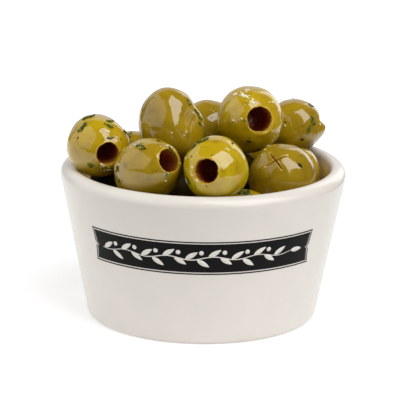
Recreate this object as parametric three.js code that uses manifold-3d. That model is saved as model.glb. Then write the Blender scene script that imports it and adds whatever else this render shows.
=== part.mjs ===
// A bowl of olives: a tapered stoneware dip bowl, heaped above its rim with pitted green olives
// in oil and chopped herbs. Millimetres, +Z up, the front of the heap towards -Y. The origin is
// the centre of the bowl's foot, on the surface that it stands on.
import * as THREE from 'three';
import { mergeVertices } from 'three/addons/utils/BufferGeometryUtils.js';
import Module from 'manifold-3d';

const wasm = await Module();
wasm.setup();

// The bowl
const RIM_RADIUS = 45;
const RIM_HEIGHT = 48.5;
const LIP_OUTER_ROUND = 3.2;
const LIP_INNER_ROUND = 1.8;
const WALL_TAPER_DEG = 11;
const BASE_RADIUS = 36.6;
const BASE_ROUND = 2;
const FOOT_WIDTH = 3.4;
const FOOT_RECESS = 1.2;
const FLOOR_HEIGHT = 5;
const FLOOR_ROUND = 6;
const BOWL_SEGMENTS = 60;
const CORNER_STEPS = 4;
const LIP_STEPS = 6;

// The heap keeps this far from the glaze, and its core is a low dome under the olives
const GLAZE_GAP = 0.35;
const CORE_EDGE_RADIUS = 42;
const CORE_EDGE_HEIGHT = 31;
const CORE_TOP_HEIGHT = 33;
const CORE_STEPS = 3;

// A pitted olive: the stone leaves by a round hole at one end
const PIT_HOLE_RADIUS = 3.2;
const PIT_HOLE_DEPTH = 11;
const PIT_HOLE_LEAD = 0.4;
const OLIVE_SIDES = 16;
const OLIVE_BANDS = 8;
const LOWER_OLIVE_SIDES = 12;
const LOWER_OLIVE_BANDS = 6;

// The punch that drives the stone out leaves a cross of two slits at the other end
const SLIT_LENGTHS = [7.7, 7.7];
const SLIT_TURNS_DEG = [-43, 54];
const SLIT_WIDTH = 0.8;
const SLIT_DEPTH = 2.2;

const HERB_THICKNESS = 0.8;
const HERB_SIDES = 6;
const HERB_BANDS = 3;

// Each olive: its centre, girth and length, and the way its pit hole faces, as a heading
// from +X towards +Y and a rise above the horizon, in degrees.
const OLIVES = [
  { name: 'left', at: [-32.6, -8.5, 55.6], girth: 19.4, length: 21.5, heading: -71, rise: -2 },
  { name: 'front_left', at: [-17.2, -26.4, 52.7], girth: 19.4, length: 24, heading: -51, rise: 27 },
  { name: 'front', at: [3.8, -32.3, 54.8], girth: 19.5, length: 22.5, heading: -107, rise: 10 },
  { name: 'cross_cut', at: [24.3, -15.9, 48.1], girth: 20.8, length: 22.5, heading: 74, rise: -42 },
  { name: 'right', at: [28.5, 5.8, 43.4], girth: 17.5, length: 21, heading: -76, rise: 82 },
  { name: 'right_top', at: [29.4, 20, 56.1], girth: 17.6, length: 18.6, heading: 15, rise: 20 },
  { name: 'upright', at: [-10, -5, 61.9], girth: 20.8, length: 25, heading: 47, rise: -80 },
  { name: 'top', at: [14.5, -2.5, 63.2], girth: 20.6, length: 22, heading: -74, rise: 13 },
  { name: 'middle', at: [1.5, 17, 54.4], girth: 20, length: 24, heading: 5, rise: 0 },
  { name: 'back_left', at: [-21.6, 17, 43.7], girth: 19.4, length: 22, heading: 150, rise: 30 },
  { name: 'back', at: [-5, 28.5, 40.6], girth: 19, length: 21, heading: 20, rise: 20 },
  { name: 'back_right', at: [17.5, 25.5, 43.5], girth: 18.8, length: 20.5, heading: 60, rise: 60 },
];

// Olives of the layer below, of which only the tops show between the others
const LOWER_OLIVES = [
  { name: 'under_front', at: [12.3, -25.9, 37.7], girth: 17.6, length: 20, heading: 0, rise: 0 },
  { name: 'under_front_left', at: [-19.6, -20.7, 34.8], girth: 17.6, length: 20, heading: -45, rise: 0 },
  { name: 'under_left', at: [-27.4, -1.5, 39.3], girth: 18, length: 20, heading: 90, rise: 0 },
  { name: 'inner_left', at: [-9.9, -5, 40.6], girth: 18.8, length: 21, heading: 80, rise: 0 },
  { name: 'inner_right', at: [8.4, -3.8, 44.8], girth: 18.6, length: 20, heading: 40, rise: 0 },
  { name: 'inner_back', at: [2, 13, 35], girth: 19, length: 21, heading: 10, rise: 0 },
];

// Two rings of olives bedded in the core close the gaps between those above
const BED_RINGS = [
  { count: 9, radius: 26, height: 27, firstDeg: 10 },
  { count: 5, radius: 12.5, height: 30, firstDeg: 25 },
];
const BED_OLIVE = { girth: 18.4, length: 20.5, rise: 5 };
const BED_TURN_DEG = 77;
const BED_OLIVE_SIDES = 10;
const BED_OLIVE_BANDS = 5;

// Neighbours that press together share a small flat of soft flesh
const CONTACTS = [
  ['left', 'under_left'],
  ['front_left', 'under_front_left'],
  ['front', 'under_front'],
  ['cross_cut', 'under_front'],
  ['cross_cut', 'inner_right'],
  ['top', 'inner_right'],
  ['upright', 'inner_left'],
  ['middle', 'back'],
  ['right_top', 'right'],
  ['right_top', 'back_right'],
];
const CONTACT_RADIUS = 2;
const CONTACT_OVERLAP = 2.5;
const CONTACT_SIDES = 8;

// Chopped herb that sticks to the olives: the heading and rise of its place from the olive's
// centre, its turn on the skin from the horizontal, and its length and width.
const HERBS = [
  { on: 'left', heading: -135, rise: 45, turn: 58, length: 3.9, width: 1.2 },
  { on: 'left', heading: -158, rise: 70, turn: 71, length: 3, width: 1 },
  { on: 'left', heading: -61, rise: 51, turn: -51, length: 2.8, width: 0.9 },
  { on: 'left', heading: -40, rise: 61, turn: -46, length: 2.1, width: 0.7 },
  { on: 'left', heading: -66, rise: 24, turn: -12, length: 1.8, width: 0.6 },
  { on: 'left', heading: -104, rise: -24, turn: -8, length: 1.7, width: 1.1 },
  { on: 'left', heading: 150, rise: 20, turn: 40, length: 2.4, width: 0.9 },
  { on: 'front_left', heading: -159, rise: 6, turn: -100, length: 1.6, width: 0.8 },
  { on: 'front_left', heading: -122, rise: 62, turn: 35, length: 1.5, width: 0.9 },
  { on: 'front_left', heading: -106, rise: 65, turn: -31, length: 1.9, width: 0.8 },
  { on: 'front_left', heading: -33, rise: 42, turn: -36, length: 2.6, width: 0.7 },
  { on: 'front', heading: 171, rise: 46, turn: 114, length: 3.2, width: 1 },
  { on: 'front', heading: -176, rise: 66, turn: 61, length: 3.5, width: 1 },
  { on: 'front', heading: -149, rise: -14, turn: -63, length: 2.3, width: 1.2 },
  { on: 'top', heading: -93, rise: -26, turn: 19, length: 1.6, width: 0.8 },
  { on: 'top', heading: 60, rise: 20, turn: 40, length: 2.4, width: 0.9 },
  { on: 'upright', heading: -44, rise: 50, turn: -68, length: 2.1, width: 0.8 },
  { on: 'upright', heading: -25, rise: 20, turn: -60, length: 4.6, width: 0.9 },
  { on: 'upright', heading: 120, rise: 15, turn: 30, length: 3, width: 1 },
  { on: 'middle', heading: -73, rise: 46, turn: -89, length: 1.5, width: 0.8 },
  { on: 'middle', heading: 95, rise: 25, turn: -25, length: 3.2, width: 1 },
  { on: 'right_top', heading: -50, rise: 21, turn: -88, length: 1.7, width: 1.1 },
  { on: 'right_top', heading: -62, rise: 6, turn: -111, length: 1.6, width: 0.8 },
  { on: 'right_top', heading: -76, rise: -17, turn: -41, length: 1.4, width: 0.9 },
  { on: 'right_top', heading: 100, rise: 5, turn: 70, length: 2.6, width: 0.9 },
  { on: 'cross_cut', heading: -53, rise: 35, turn: -57, length: 1.8, width: 0.8 },
  { on: 'back_left', heading: 110, rise: 30, turn: 20, length: 2.8, width: 1 },
  { on: 'back_right', heading: 75, rise: 45, turn: -40, length: 2.2, width: 0.9 },
  { on: 'under_front', heading: -128, rise: 70, turn: -11, length: 2.7, width: 0.9 },
  { on: 'under_front', heading: -67, rise: 75, turn: 31, length: 2.7, width: 0.9 },
];

const rad = THREE.MathUtils.degToRad;

// A closed three.js shape as a solid: only its corners are kept, the doubled ones become one,
// and the triangles that this leaves flat, at the poles of a turned shape, are dropped.
function solid(geometry) {
  const bare = geometry.clone();
  bare.deleteAttribute('normal');
  bare.deleteAttribute('uv');
  const merged = mergeVertices(bare);
  const corners = merged.index.array;
  const kept = [];
  for (let i = 0; i < corners.length; i += 3) {
    const [a, b, c] = [corners[i], corners[i + 1], corners[i + 2]];
    if (a !== b && b !== c && c !== a) kept.push(a, b, c);
  }
  return new wasm.Manifold(new wasm.Mesh({
    numProp: 3,
    vertProperties: new Float32Array(merged.attributes.position.array),
    triVerts: new Uint32Array(kept),
  }));
}

// A solid as a named mesh
function piece(name, shape, material) {
  const result = shape.getMesh();
  const geometry = new THREE.BufferGeometry();
  geometry.setAttribute('position', new THREE.BufferAttribute(result.vertProperties, 3));
  geometry.setIndex(new THREE.BufferAttribute(result.triVerts, 1));
  geometry.computeVertexNormals();
  const mesh = new THREE.Mesh(geometry, material);
  mesh.name = name;
  return mesh;
}

// A profile of [radius, height] pairs turned round the Z axis
function turned(profile, segments) {
  const points = profile.map(([radius, height]) => new THREE.Vector2(radius, height));
  return new THREE.LatheGeometry(points, segments).rotateX(Math.PI / 2);
}

// Points of an arc in the profile's plane, from one angle to another in degrees
function arc([radius, height], size, fromDeg, toDeg, steps) {
  const points = [];
  for (let i = 0; i <= steps; i++) {
    const angle = rad(fromDeg + (toDeg - fromDeg) * i / steps);
    points.push([radius + size * Math.cos(angle), height + size * Math.sin(angle)]);
  }
  return points;
}

// The inside of the bowl from the middle of its floor to the top of its lip, moved off the
// glaze by a gap
function bowlInside(gap) {
  const slope = Math.tan(rad(WALL_TAPER_DEG));
  const lip = [RIM_RADIUS - LIP_OUTER_ROUND, RIM_HEIGHT - LIP_INNER_ROUND];
  const cornerHeight = FLOOR_HEIGHT + FLOOR_ROUND;
  const cornerRadius = lip[0] - LIP_INNER_ROUND - FLOOR_ROUND - (lip[1] - cornerHeight) * slope;
  return [
    [0, FLOOR_HEIGHT + gap],
    ...arc([cornerRadius, cornerHeight], FLOOR_ROUND - gap, -90, -WALL_TAPER_DEG, CORNER_STEPS),
    ...arc(lip, LIP_INNER_ROUND + gap, 180 - WALL_TAPER_DEG, 90, CORNER_STEPS),
  ];
}

// The outside of the bowl from the middle of the recess under it to the top of its lip
function bowlOutside() {
  const footOuter = BASE_RADIUS - BASE_ROUND;
  const footInner = footOuter - FOOT_WIDTH;
  const lip = [RIM_RADIUS - LIP_OUTER_ROUND, RIM_HEIGHT - LIP_OUTER_ROUND];
  return [
    [0, FOOT_RECESS],
    [footInner - FOOT_RECESS, FOOT_RECESS],
    [footInner, 0],
    ...arc([footOuter, BASE_ROUND], BASE_ROUND, -90, -WALL_TAPER_DEG, CORNER_STEPS),
    ...arc(lip, LIP_OUTER_ROUND, -WALL_TAPER_DEG, 90, LIP_STEPS),
  ];
}

function bowl() {
  return solid(turned([...bowlOutside(), ...bowlInside(0).reverse()], BOWL_SEGMENTS));
}

// All the space that the heap may fill: the bowl's inside and everything over its lip
function roomForHeap() {
  const wide = RIM_RADIUS * 2;
  const high = RIM_HEIGHT * 2;
  const lipTop = RIM_HEIGHT + GLAZE_GAP;
  return solid(turned([...bowlInside(GLAZE_GAP), [wide, lipTop], [wide, high], [0, high]], BOWL_SEGMENTS));
}

// The core of the heap: a dome that fills the bowl below its edge
function core() {
  const dome = [];
  for (let i = 0; i <= CORE_STEPS; i++) {
    const angle = Math.PI / 2 * i / CORE_STEPS;
    const height = CORE_EDGE_HEIGHT + (CORE_TOP_HEIGHT - CORE_EDGE_HEIGHT) * Math.sin(angle);
    dome.push([CORE_EDGE_RADIUS * Math.cos(angle), height]);
  }
  dome[CORE_STEPS][0] = 0;
  return solid(turned([[0, 0], [CORE_EDGE_RADIUS, 0], ...dome], BOWL_SEGMENTS));
}

// Turns a shape that stands along +Z to face a heading and a rise, and puts it in its place
function place(geometry, heading, rise, at) {
  return geometry.rotateY(rad(90 - rise)).rotateZ(rad(heading)).translate(...at);
}

// A whole olive, or one with the bore that its stone left
function olive({ at, girth, length, heading, rise }, sides, bands, pitted) {
  const holeAngle = Math.PI - Math.asin(2 * PIT_HOLE_RADIUS / girth);
  const end = pitted ? holeAngle : Math.PI;
  const profile = [];
  for (let i = 0; i <= bands; i++) {
    const angle = end * i / bands;
    profile.push([girth / 2 * Math.sin(angle), -length / 2 * Math.cos(angle)]);
  }
  if (pitted) {
    const mouth = -length / 2 * Math.cos(holeAngle);
    profile.push([PIT_HOLE_RADIUS - PIT_HOLE_LEAD, mouth - PIT_HOLE_LEAD]);
    profile.push([PIT_HOLE_RADIUS - PIT_HOLE_LEAD, mouth - PIT_HOLE_DEPTH + PIT_HOLE_RADIUS]);
    profile.push([0, mouth - PIT_HOLE_DEPTH]);
  } else {
    profile[bands][0] = 0;
  }
  profile[0][0] = 0;
  return solid(place(turned(profile, sides), heading, rise, at));
}

// The olives of the bed, evenly round each ring, each turned further than the last
function bedOlives() {
  return BED_RINGS.flatMap(({ count, radius, height, firstDeg }) => {
    return Array.from({ length: count }, (_, i) => {
      const angle = rad(firstDeg + 360 * i / count);
      const at = [radius * Math.cos(angle), radius * Math.sin(angle), height];
      return { ...BED_OLIVE, at, heading: BED_TURN_DEG * i };
    });
  });
}

// The two slits across the end of an olive that has no hole there
function slits({ at, length, heading, rise }) {
  const blades = SLIT_LENGTHS.map((slitLength, i) => {
    const blade = new THREE.BoxGeometry(slitLength, SLIT_WIDTH, SLIT_DEPTH * 2);
    blade.rotateZ(rad(SLIT_TURNS_DEG[i])).translate(0, 0, -length / 2);
    return solid(place(blade, heading, rise, at));
  });
  return wasm.Manifold.union(blades);
}

// The direction of a heading and a rise
function facing(heading, rise) {
  const level = Math.cos(rad(rise));
  return new THREE.Vector3(
    level * Math.cos(rad(heading)), level * Math.sin(rad(heading)), Math.sin(rad(rise)));
}

function oliveNamed(name) {
  return [...OLIVES, ...LOWER_OLIVES].find((entry) => entry.name === name);
}

// Where a ray from the centre of an olive leaves its skin, and the way the skin faces there
function skinAlong({ at, girth, length, heading, rise }, ray) {
  const axis = facing(heading, rise);
  const along = ray.dot(axis);
  const across = ray.clone().addScaledVector(axis, -along);
  const reach = 1 / Math.hypot(along / (length / 2), across.length() / (girth / 2));
  const outward = axis.clone().multiplyScalar(along / (length / 2) ** 2)
    .addScaledVector(across, 1 / (girth / 2) ** 2).normalize();
  return { point: new THREE.Vector3(...at).addScaledVector(ray, reach), outward };
}

// A flake of herb, half sunk in the skin that it lies on
function herb({ on, heading, rise, turn, length, width }) {
  const { point, outward } = skinAlong(oliveNamed(on), facing(heading, rise));
  const level = new THREE.Vector3(0, 0, 1).cross(outward).normalize();
  const upward = outward.clone().cross(level);
  const flake = new THREE.SphereGeometry(1, HERB_SIDES, HERB_BANDS).rotateX(Math.PI / 2);
  flake.scale(length / 2, width / 2, HERB_THICKNESS / 2).rotateZ(rad(turn));
  flake.applyMatrix4(new THREE.Matrix4().makeBasis(level, upward, outward));
  return solid(flake.translate(...point));
}

// The flesh that joins two olives at their contact: a short round plug on their centre line
function contact([nameA, nameB]) {
  const [oliveA, oliveB] = [oliveNamed(nameA), oliveNamed(nameB)];
  const line = new THREE.Vector3(...oliveB.at).sub(new THREE.Vector3(...oliveA.at)).normalize();
  const skinA = skinAlong(oliveA, line).point;
  const skinB = skinAlong(oliveB, line.clone().negate()).point;
  const plugLength = skinA.distanceTo(skinB) + CONTACT_OVERLAP * 2;
  const plug = new THREE.CylinderGeometry(CONTACT_RADIUS, CONTACT_RADIUS, plugLength, CONTACT_SIDES);
  plug.applyQuaternion(new THREE.Quaternion().setFromUnitVectors(new THREE.Vector3(0, 1, 0), line));
  return solid(plug.translate(...skinA.add(skinB).multiplyScalar(1 / 2)));
}

// The heap as one solid: core, olives and herbs joined, kept off the bowl. Sealed hollows
// between the olives are filled and loose scraps dropped by keeping the largest shell alone.
function heap() {
  const cut = OLIVES.find((entry) => entry.name === 'cross_cut');
  const shown = OLIVES.map((entry) => olive(entry, OLIVE_SIDES, OLIVE_BANDS, entry !== cut));
  const lower = LOWER_OLIVES.map((entry) => olive(entry, LOWER_OLIVE_SIDES, LOWER_OLIVE_BANDS, false));
  const bed = bedOlives().map((entry) => olive(entry, BED_OLIVE_SIDES, BED_OLIVE_BANDS, false));
  const small = [...CONTACTS.map(contact), ...HERBS.map(herb)];
  const joined = wasm.Manifold.union([core(), ...bed, ...shown, ...lower, ...small]);
  const fitted = joined.subtract(slits(cut)).intersect(roomForHeap());
  const shells = fitted.decompose();
  return shells.reduce((largest, shell) => (shell.volume() > largest.volume() ? shell : largest));
}

const glaze = new THREE.MeshStandardMaterial({ color: '#ddd8d1', roughness: 0.2, metalness: 0 });
const oliveSkin = new THREE.MeshStandardMaterial({ color: '#a8861f', roughness: 0.25, metalness: 0 });

const bowlOfOlives = new THREE.Group();
bowlOfOlives.add(piece('bowl', bowl(), glaze));
bowlOfOlives.add(piece('olives', heap(), oliveSkin));

export default bowlOfOlives;
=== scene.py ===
import math
import random

import bmesh
import bpy
from mathutils import Matrix, Vector, noise
from mathutils.bvhtree import BVHTree


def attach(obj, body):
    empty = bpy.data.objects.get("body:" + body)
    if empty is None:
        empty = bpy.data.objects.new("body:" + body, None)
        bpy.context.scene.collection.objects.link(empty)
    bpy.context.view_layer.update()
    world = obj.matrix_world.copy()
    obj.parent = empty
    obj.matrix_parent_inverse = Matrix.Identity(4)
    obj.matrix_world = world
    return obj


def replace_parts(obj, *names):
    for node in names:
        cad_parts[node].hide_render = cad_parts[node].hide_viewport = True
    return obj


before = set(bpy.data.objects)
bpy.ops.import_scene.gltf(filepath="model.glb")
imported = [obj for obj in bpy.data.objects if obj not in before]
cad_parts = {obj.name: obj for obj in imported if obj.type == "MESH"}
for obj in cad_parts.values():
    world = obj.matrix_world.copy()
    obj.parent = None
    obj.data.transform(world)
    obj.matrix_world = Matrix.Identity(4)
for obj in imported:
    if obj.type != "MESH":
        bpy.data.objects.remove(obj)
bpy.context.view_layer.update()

scene = bpy.context.scene
MM = 0.001

# ---- Bowl ---------------------------------------------------------------------------------------
# A small dip bowl of pale stoneware, pressed in a mould and dipped in a clear glaze. Its wall
# leans out at one angle from a plain foot to a soft, rounded lip. One closed profile, in
# millimetres, runs out under the foot, up the wall, over the lip and down to the floor inside.
rim_radius = 45.0
rim_height = 48.5
lip_outer_round = 3.2
lip_inner_round = 1.8
wall_taper = math.radians(11)
base_radius = 36.6
base_round = 2.0
foot_width = 3.4
foot_recess = 1.2
foot_ease = 0.4
floor_height = 5.0
floor_round = 6.0
round_steps = 8
lip_steps = 14
flat_steps = 8
inner_wall_steps = 12
outer_wall_steps = 14
bowl_segments = 180
merge_distance = 1e-4


def arc(centre, size, start_deg, end_deg, steps):
    """Points of an arc in a profile's plane."""
    points = []
    for i in range(steps + 1):
        angle = math.radians(start_deg + (end_deg - start_deg) * i / steps)
        points.append((centre[0] + size * math.cos(angle), centre[1] + size * math.sin(angle)))
    return points


def straight(start, end, steps):
    """Points between the two ends of a straight stretch, with both ends left out."""
    return [
        (start[0] + (end[0] - start[0]) * i / steps, start[1] + (end[1] - start[1]) * i / steps)
        for i in range(1, steps)
    ]


def bowl_inside(gap):
    """The inside from the middle of the floor to the top of the lip, moved off the glaze."""
    taper_deg = math.degrees(wall_taper)
    lip = (rim_radius - lip_outer_round, rim_height - lip_inner_round)
    corner_height = floor_height + floor_round
    lean = (lip[1] - corner_height) * math.tan(wall_taper)
    corner = (lip[0] - lip_inner_round - floor_round - lean, corner_height)
    floor_arc = arc(corner, floor_round - gap, -90, -taper_deg, round_steps)
    lip_arc = arc(lip, lip_inner_round + gap, 180 - taper_deg, 90, round_steps)
    middle = (0.0, floor_height + gap)
    return [
        middle,
        *straight(middle, floor_arc[0], flat_steps),
        *floor_arc,
        *straight(floor_arc[-1], lip_arc[0], inner_wall_steps),
        *lip_arc,
    ]


def bowl_outside():
    """The outside from the middle of the recess under the foot to the top of the lip."""
    taper_deg = math.degrees(wall_taper)
    foot_outer = base_radius - base_round
    foot_inner = foot_outer - foot_width
    foot_arc = arc((foot_outer, base_round), base_round, -90, -taper_deg, round_steps)
    lip = (rim_radius - lip_outer_round, rim_height - lip_outer_round)
    lip_arc = arc(lip, lip_outer_round, -taper_deg, 90, lip_steps)
    middle = (0.0, foot_recess)
    edge = (foot_inner - foot_recess, foot_recess)
    return [
        middle,
        *straight(middle, edge, flat_steps),
        edge,
        (foot_inner - foot_ease, foot_ease / 2),
        (foot_inner, 0.0),
        *foot_arc,
        *straight(foot_arc[-1], lip_arc[0], outer_wall_steps),
        *lip_arc,
    ]


def turned(profile, segments):
    """A closed shape turned round the Z axis from a profile that starts and ends on it."""
    bm = bmesh.new()
    corners = [bm.verts.new((radius, 0, height)) for radius, height in profile]
    edges = [bm.edges.new(pair) for pair in zip(corners, corners[1:])]
    bmesh.ops.spin(
        bm, geom=corners + edges, cent=(0, 0, 0), axis=(0, 0, 1), dvec=(0, 0, 0),
        angle=2 * math.pi, steps=segments, use_merge=True, use_duplicate=False,
    )
    bmesh.ops.remove_doubles(bm, verts=bm.verts, dist=merge_distance)
    bmesh.ops.recalc_face_normals(bm, faces=bm.faces)
    return bm


def piece(bm, name, materials):
    """A mesh in millimetres as a finished object in metres, riding on the root body."""
    bmesh.ops.scale(bm, vec=(MM, MM, MM), verts=bm.verts)
    for face in bm.faces:
        face.smooth = True
    mesh = bpy.data.meshes.new(name)
    bm.to_mesh(mesh)
    bm.free()
    for material in materials:
        mesh.materials.append(material)
    made = bpy.data.objects.new(name, mesh)
    scene.collection.objects.link(made)
    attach(made, "root")
    return made


def linear(colour):
    """An sRGB hex colour as linear red, green, blue and alpha."""
    channels = [int(colour[i:i + 2], 16) / 255 for i in (1, 3, 5)]
    return (*(c / 12.92 if c <= 0.04045 else ((c + 0.055) / 1.055) ** 2.4 for c in channels), 1.0)


def add(tree, kind, inputs=None, out=None, **settings):
    """Adds a node with its settings, sets or links its inputs, and gives back one of its outputs.

    That is the output named by out, or else the first in use. A mix of two colours takes its
    share at input 0 and the colours at 6 and 7.
    """
    node = tree.nodes.new("ShaderNode" + kind)
    for name, value in settings.items():
        if name == "stops":
            while len(node.color_ramp.elements) < len(value):
                node.color_ramp.elements.new(1.0)
            for element, (position, colour) in zip(node.color_ramp.elements, value):
                element.position = position
                element.color = colour
        else:
            setattr(node, name, value)
    for name, value in (inputs or {}).items():
        if isinstance(value, bpy.types.NodeSocket):
            tree.links.new(value, node.inputs[name])
        else:
            node.inputs[name].default_value = value
    if out:
        return node.outputs[out]
    return next(output for output in node.outputs if output.enabled)


def surface(name, **settings):
    """A new material, its node tree, and its shader with its plain settings."""
    made = bpy.data.materials.new(name)
    made.use_nodes = True
    shader = made.node_tree.nodes["Principled BSDF"]
    for setting, value in settings.items():
        shader.inputs[setting.replace("_", " ")].default_value = value
    return made, made.node_tree, shader


# Glazed stoneware: a pale grey-white body under a smooth clear glaze. The glaze pools a little,
# so its tone drifts over some 9 mm and its skin ripples faintly over 6 mm. A few fine grey specks
# show through. The foot ring is wiped bare before firing, so it is matt and slightly darker.
# Inside, the wall turns a bright yellow from half a millimetre under the rim, and in full 4 mm under
# it: partly oil that has run down the wall, partly painted light from the olives on the shaded inner
# wall.
wiped_height = 0.25
glazed_height = 0.45
oil_and_painted_light_start = rim_height - 0.5
oil_and_painted_light_full = rim_height - 4.0
# Carried down the taper to the table, the inside of the wall lies within the first of these radii
# and the outside beyond the second.
inside_radius = 33.0
outside_radius = 34.0
glaze, tree, shader = surface("glazed_stoneware", IOR=1.5)
place = add(tree, "TexCoord", out="Object")
drift = add(tree, "TexNoise", {"Vector": place, "Scale": 1 / (9 * MM), "Detail": 3.0})
tone = add(tree, "Mix", {0: drift, 6: linear("#D0CBC3"), 7: linear("#D8D2CA")}, data_type="RGBA")
grit = add(tree, "TexVoronoi", {"Vector": place, "Scale": 1 / (3.2 * MM)})
rare = add(tree, "TexNoise", {"Vector": place, "Scale": 1 / (2.4 * MM)})
size = add(tree, "MapRange", {
    "Value": rare, "From Min": 0.56, "From Max": 0.75, "To Min": 0.0, "To Max": 0.07,
})
speck = add(tree, "Math", {0: grit, 1: size}, operation="LESS_THAN")
faint = add(tree, "Math", {0: speck, 1: 0.3}, operation="MULTIPLY")
specked = add(tree, "Mix", {0: faint, 6: tone, 7: linear("#A39C92")}, data_type="RGBA")
height = add(tree, "SeparateXYZ", {"Vector": place}, out="Z")
glazed = add(tree, "MapRange", {
    "Value": height, "From Min": wiped_height * MM, "From Max": glazed_height * MM,
})
body = add(tree, "Mix", {0: glazed, 6: linear("#C2B8A8"), 7: specked}, data_type="RGBA")
level = add(tree, "VectorMath", {0: place, 1: (1, 1, 0)}, operation="MULTIPLY")
across = add(tree, "VectorMath", {0: level}, operation="LENGTH")
slope = add(tree, "Math", {0: height, 1: -math.tan(wall_taper), 2: across}, operation="MULTIPLY_ADD")
inside = add(tree, "MapRange", {
    "Value": slope, "From Min": outside_radius * MM, "From Max": inside_radius * MM,
})
below = add(tree, "MapRange", {
    "Value": height, "From Min": oil_and_painted_light_start * MM, "From Max": oil_and_painted_light_full * MM,
    "To Min": 0.0, "To Max": 0.85,
})
# The yellow inside is partly oil stain and partly painted light from the olives.
oil_and_painted_light = add(tree, "Math", {0: inside, 1: below}, operation="MULTIPLY")
stained_and_painted_light = add(tree, "Mix", {0: oil_and_painted_light, 6: body, 7: linear("#F4CE64")}, data_type="RGBA")
gloss = add(tree, "MapRange", {"Value": glazed, "To Min": 0.8, "To Max": 0.24})
ripple = add(tree, "TexNoise", {"Vector": place, "Scale": 1 / (6 * MM), "Detail": 2.0})
relief = add(tree, "Bump", {"Height": ripple, "Strength": 0.12, "Distance": 0.3 * MM})
tree.links.new(stained_and_painted_light, shader.inputs["Base Color"])
tree.links.new(gloss, shader.inputs["Roughness"])
tree.links.new(relief, shader.inputs["Normal"])

bowl_shape = turned([*bowl_outside(), *reversed(bowl_inside(0.0)[:-1])], bowl_segments)
bowl_tree = BVHTree.FromBMesh(bowl_shape)
bowl = piece(bowl_shape, "glazed_bowl", [glaze])
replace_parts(bowl, "bowl")

# ---- Printed band -------------------------------------------------------------------------------
# A black band with flared corners and a notch in each end is fired onto the glaze across the
# front of the wall, with a thin line round it. A plain running sprig of leaves and round fruits is
# left open in it, in the glaze's own colour. All three are thin sheets wrapped round the wall.
band_height = 29.3
band_half_length = 37.2
band_half_width = 4.75
band_flare = 0.7
band_columns = 96
band_rows = 36
notch_depth = 0.9
notch_half_width = 0.8
line_gap = 0.38
line_width = 0.4
ink_lift = 0.01
sprig_lift = 0.03
ink_thickness = 0.04
band_radius = base_radius + (band_height - base_round) * math.tan(wall_taper)


def on_wall(across, up, lift):
    """A point of the flat artwork, in millimetres, wrapped round the wall and lifted off it."""
    angle = across / band_radius
    z = band_height + up * math.cos(wall_taper)
    foot_edge = base_radius - base_round + base_round * math.cos(wall_taper)
    foot_edge_height = base_round - base_round * math.sin(wall_taper)
    radius = foot_edge + (z - foot_edge_height) * math.tan(wall_taper) + lift * math.cos(wall_taper)
    z -= lift * math.sin(wall_taper)
    return Vector((radius * math.sin(angle), -radius * math.cos(angle), z))


def wrapped(bm, lift):
    """Thickens flat artwork into a sheet of ink and wraps it round the wall."""
    top = bmesh.ops.extrude_face_region(bm, geom=bm.faces[:])["geom"]
    for vert in (item for item in top if isinstance(item, bmesh.types.BMVert)):
        vert.co.z += ink_thickness
    for vert in bm.verts:
        vert.co = on_wall(vert.co.x, vert.co.y, lift + vert.co.z)
    bmesh.ops.recalc_face_normals(bm, faces=bm.faces)
    return bm


def end_inset(share):
    """How far an end draws back at a share of the half width: flared corners and a notch midway."""
    notch = max(0.0, 1 - abs(share) * band_half_width / notch_half_width)
    return band_flare * (1 - share * share) + notch_depth * notch


def band_edge(grow):
    """Points round the edge of the band, moved outwards."""
    shares = [2 * i / band_rows - 1 for i in range(band_rows + 1)]
    reach = band_half_length + grow
    right = [(reach - end_inset(share), (band_half_width + grow) * share) for share in shares]
    left = [(-x, y) for x, y in reversed(right)]
    top = straight(right[-1], left[0], band_columns)
    bottom = straight(left[-1], right[0], band_columns)
    return [*right, *top, *left, *bottom]


# Fired black ink: slightly warm black, flatter than the glaze, with a faint unevenness from the
# transfer over about 2 mm.
ink, tree, shader = surface("fired_black_ink", Roughness=0.45, IOR=1.18)
place = add(tree, "TexCoord", out="Object")
uneven = add(tree, "TexNoise", {"Vector": place, "Scale": 1 / (2 * MM), "Detail": 3.0})
tone = add(tree, "Mix", {0: uneven, 6: linear("#0B0A0A"), 7: linear("#131111")}, data_type="RGBA")
tree.links.new(tone, shader.inputs["Base Color"])

band = bmesh.new()
bmesh.ops.create_grid(band, x_segments=band_columns, y_segments=band_rows, size=1)
for vert in band.verts:
    reach = band_half_length - end_inset(vert.co.y)
    vert.co = Vector((vert.co.x * reach, vert.co.y * band_half_width, 0))
piece(wrapped(band, ink_lift), "printed_band", [ink])

outline = bmesh.new()
rings = []
for grow in (line_gap + line_width, line_gap):
    rings.append([outline.verts.new((x, y, 0)) for x, y in band_edge(grow)])
outer_ring, inner_ring = rings
for i, corner in enumerate(outer_ring):
    outline.faces.new((inner_ring[i], corner, outer_ring[i - 1], inner_ring[i - 1]))
piece(wrapped(outline, ink_lift), "printed_line", [ink])

sprig = bmesh.new()
leaf_length = 4.7
leaf_width = 1.55
leaf_root_gap = 0.25
leaf_lean = math.radians(32)
leaf_pitch = 3.5
first_leaf = 0.15
end_leaf_overlap = 0.2
fruit_radius = 0.72
fruit_forward = 0.45
fruit_rise = 1.9
stem_half_width = 0.17
stem_wave = 0.55
stem_end_share = 0.4
sprig_margin = 3.4
stem_half_length = band_half_length - sprig_margin - leaf_length / 2
stem_middle = -leaf_length / 2


def leaf(bm, root_x, root_y, lean):
    """A pointed leaf in the flat artwork that grows from a point of the stem at an angle."""
    grown = bmesh.ops.create_grid(bm, x_segments=10, y_segments=2, size=1)["verts"]
    turn = Matrix.Rotation(lean, 3, "Z")
    for vert in grown:
        along = (vert.co.x + 1) / 2
        half = leaf_width / 2 * math.sin(math.pi * along ** 0.85) ** 0.8
        x = leaf_root_gap + along * (leaf_length - leaf_root_gap)
        vert.co = turn @ Vector((x, vert.co.y * half, 0)) + Vector((root_x, root_y, 0))


def stem_height(x):
    """How high the running stem is at a place along the band."""
    return stem_wave * math.sin(x * math.pi / (2 * leaf_pitch))


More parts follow.
